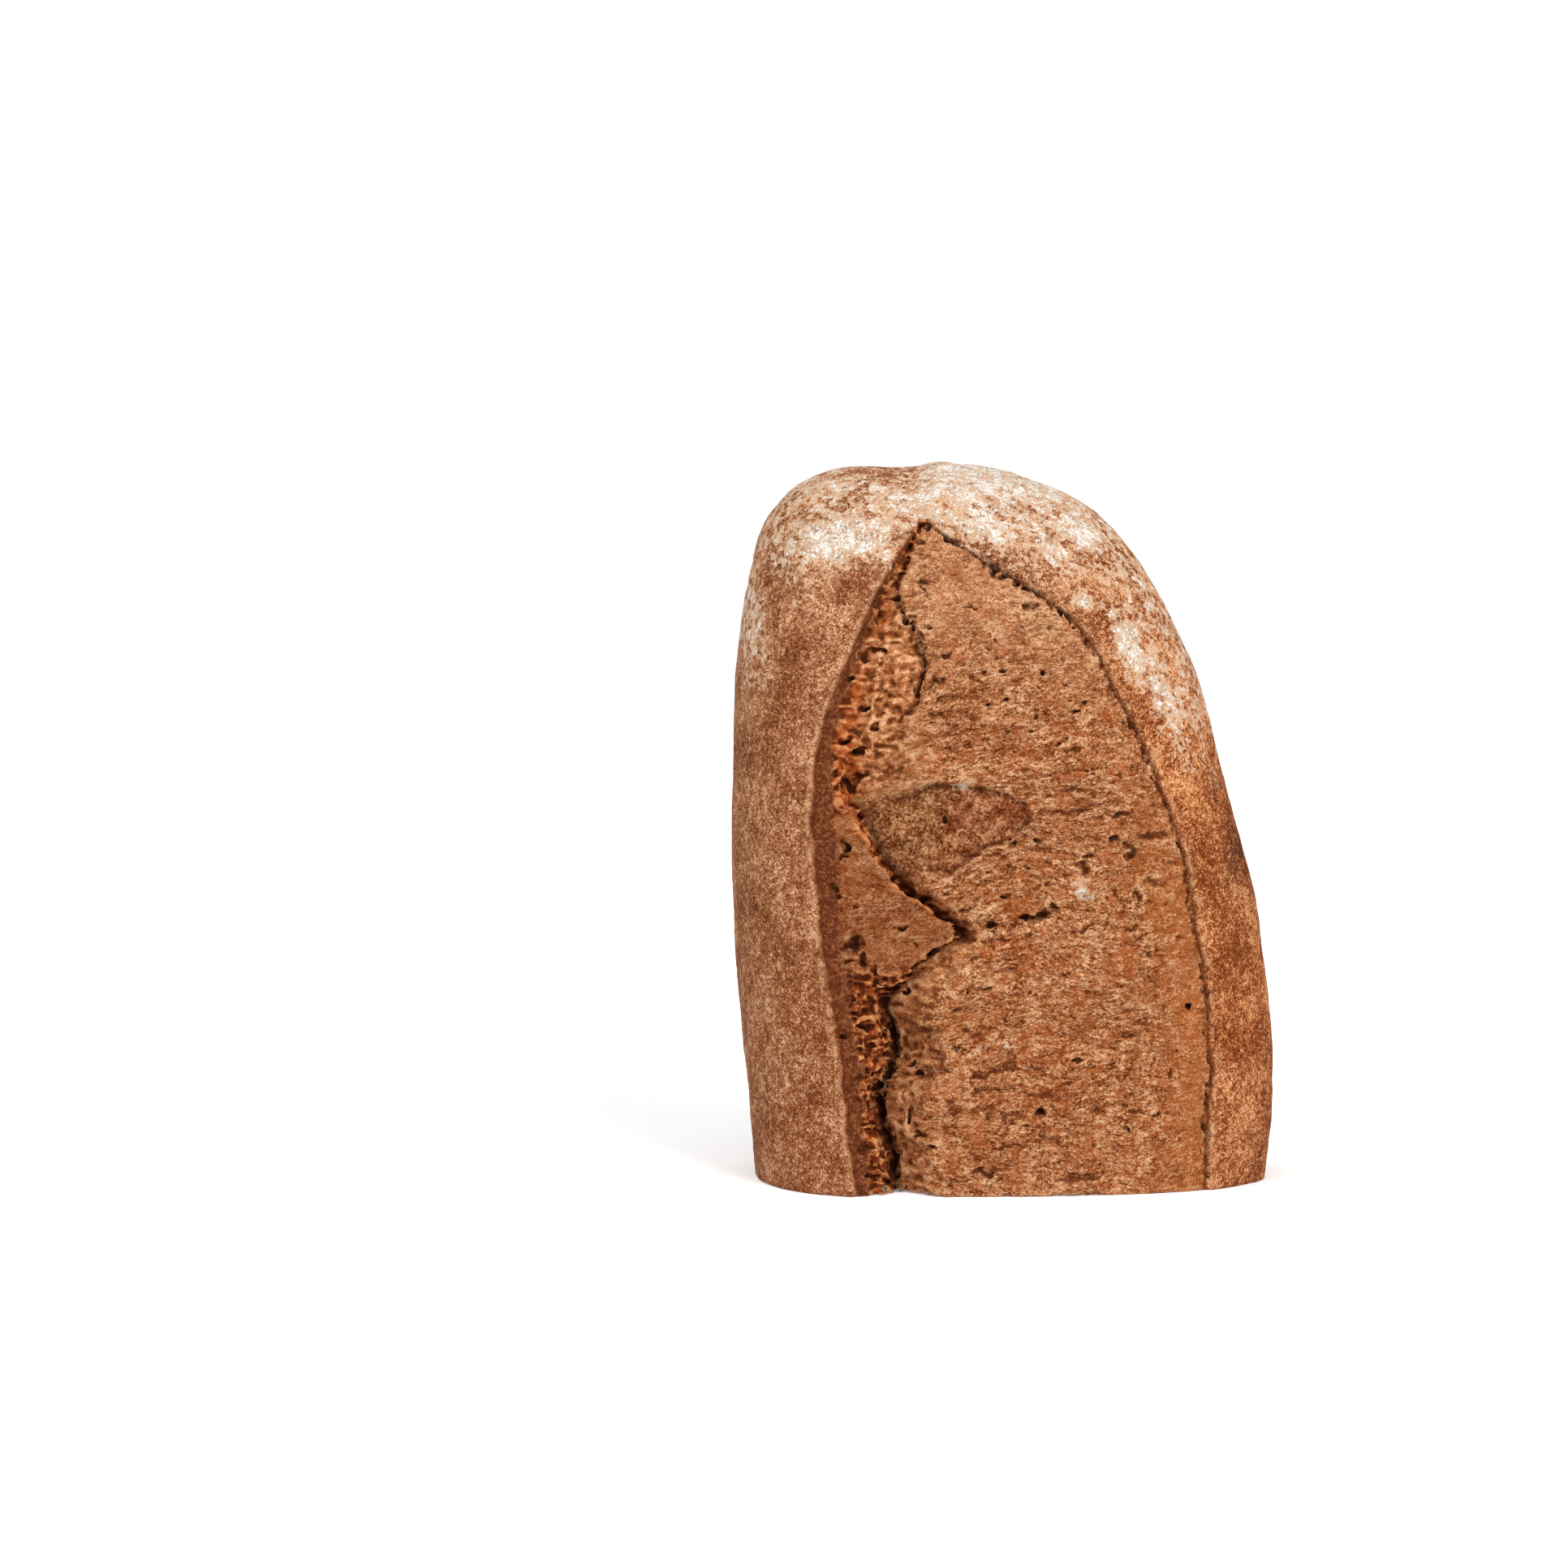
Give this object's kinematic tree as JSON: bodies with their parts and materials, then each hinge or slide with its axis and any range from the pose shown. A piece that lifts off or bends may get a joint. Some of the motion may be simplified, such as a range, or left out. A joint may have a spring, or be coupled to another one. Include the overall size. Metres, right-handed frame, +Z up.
{
  "type": "whole wheat long loaf, half",
  "caption": "Half of a long whole wheat loaf with a torn, floury crust, cut straight across and standing on its cut face.",
  "frame": {"origin": "on the cut face, under the middle of the loaf's bounding box", "axes": "+Z up, along the loaf from its cut face to its rounded end; -Y towards the baked, torn top of the loaf; +X to the right of the shown side"},
  "size_m": [0.1512, 0.0701, 0.2],
  "materials": {
    "crust": "matte baked crust, dusted with flour"
  },
  "bodies": {
    "root": {"loaf": "crust"}
  },
  "joints": []
}
